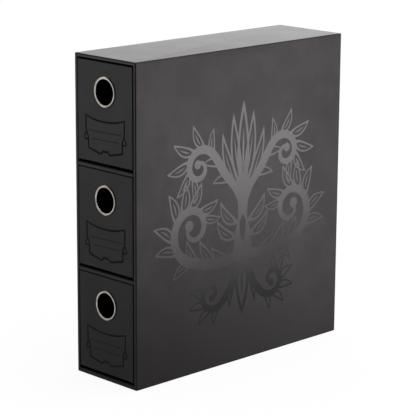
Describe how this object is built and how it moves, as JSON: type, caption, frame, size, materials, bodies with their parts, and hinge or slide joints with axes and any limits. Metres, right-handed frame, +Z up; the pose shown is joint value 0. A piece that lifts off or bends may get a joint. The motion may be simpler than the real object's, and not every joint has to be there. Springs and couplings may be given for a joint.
{
  "type": "card drawer box",
  "caption": "Upright black board box with stacked pull-out drawers for sleeved trading cards, each drawer with a metal-ringed finger hole.",
  "frame": {"origin": "middle of the underside, on the surface that the box stands on", "axes": "+Z up, -Y out of the front that the drawers open through, +X to the right seen from that front"},
  "size_m": [0.086, 0.286, 0.318],
  "materials": {
    "case_board": "matte",
    "cover_paper": "satin",
    "face_paper": "satin",
    "tray_board": "matte",
    "tray_paper": "matte",
    "nickel": "satin"
  },
  "bodies": {
    "case": {"left_board": "case_board", "right_board": "case_board", "top_board": "case_board", "bottom_board": "case_board", "back_board": "case_board", "lower_shelf_board": "case_board", "lower_shelf_cover": "cover_paper", "upper_shelf_board": "case_board", "upper_shelf_cover": "cover_paper", "bottom_cover": "cover_paper", "case_wrap": "cover_paper", "base_sheet": "cover_paper", "back_sheet": "cover_paper"},
    "bottom_drawer": {"bottom_drawer_face_cover": "face_paper", "bottom_drawer_face_board": "tray_board", "bottom_drawer_left_board": "tray_board", "bottom_drawer_right_board": "tray_board", "bottom_drawer_front_board": "tray_board", "bottom_drawer_back_board": "tray_board", "bottom_drawer_bottom_board": "tray_board", "bottom_drawer_tray_wrap": "tray_paper", "bottom_drawer_finger_ring": "nickel", "bottom_drawer_ring_washer": "nickel"},
    "middle_drawer": {"middle_drawer_face_cover": "face_paper", "middle_drawer_face_board": "tray_board", "middle_drawer_left_board": "tray_board", "middle_drawer_right_board": "tray_board", "middle_drawer_front_board": "tray_board", "middle_drawer_back_board": "tray_board", "middle_drawer_bottom_board": "tray_board", "middle_drawer_tray_wrap": "tray_paper", "middle_drawer_finger_ring": "nickel", "middle_drawer_ring_washer": "nickel"},
    "top_drawer": {"top_drawer_face_cover": "face_paper", "top_drawer_face_board": "tray_board", "top_drawer_left_board": "tray_board", "top_drawer_right_board": "tray_board", "top_drawer_front_board": "tray_board", "top_drawer_back_board": "tray_board", "top_drawer_bottom_board": "tray_board", "top_drawer_tray_wrap": "tray_paper", "top_drawer_finger_ring": "nickel", "top_drawer_ring_washer": "nickel"}
  },
  "joints": [
    {"name": "bottom_drawer_slide", "type": "slide", "parent": "case", "child": "bottom_drawer", "axis": [0, -1, 0], "range_m": [0, 0.25]},
    {"name": "middle_drawer_slide", "type": "slide", "parent": "case", "child": "middle_drawer", "axis": [0, -1, 0], "range_m": [0, 0.25]},
    {"name": "top_drawer_slide", "type": "slide", "parent": "case", "child": "top_drawer", "axis": [0, -1, 0], "range_m": [0, 0.25]}
  ]
}
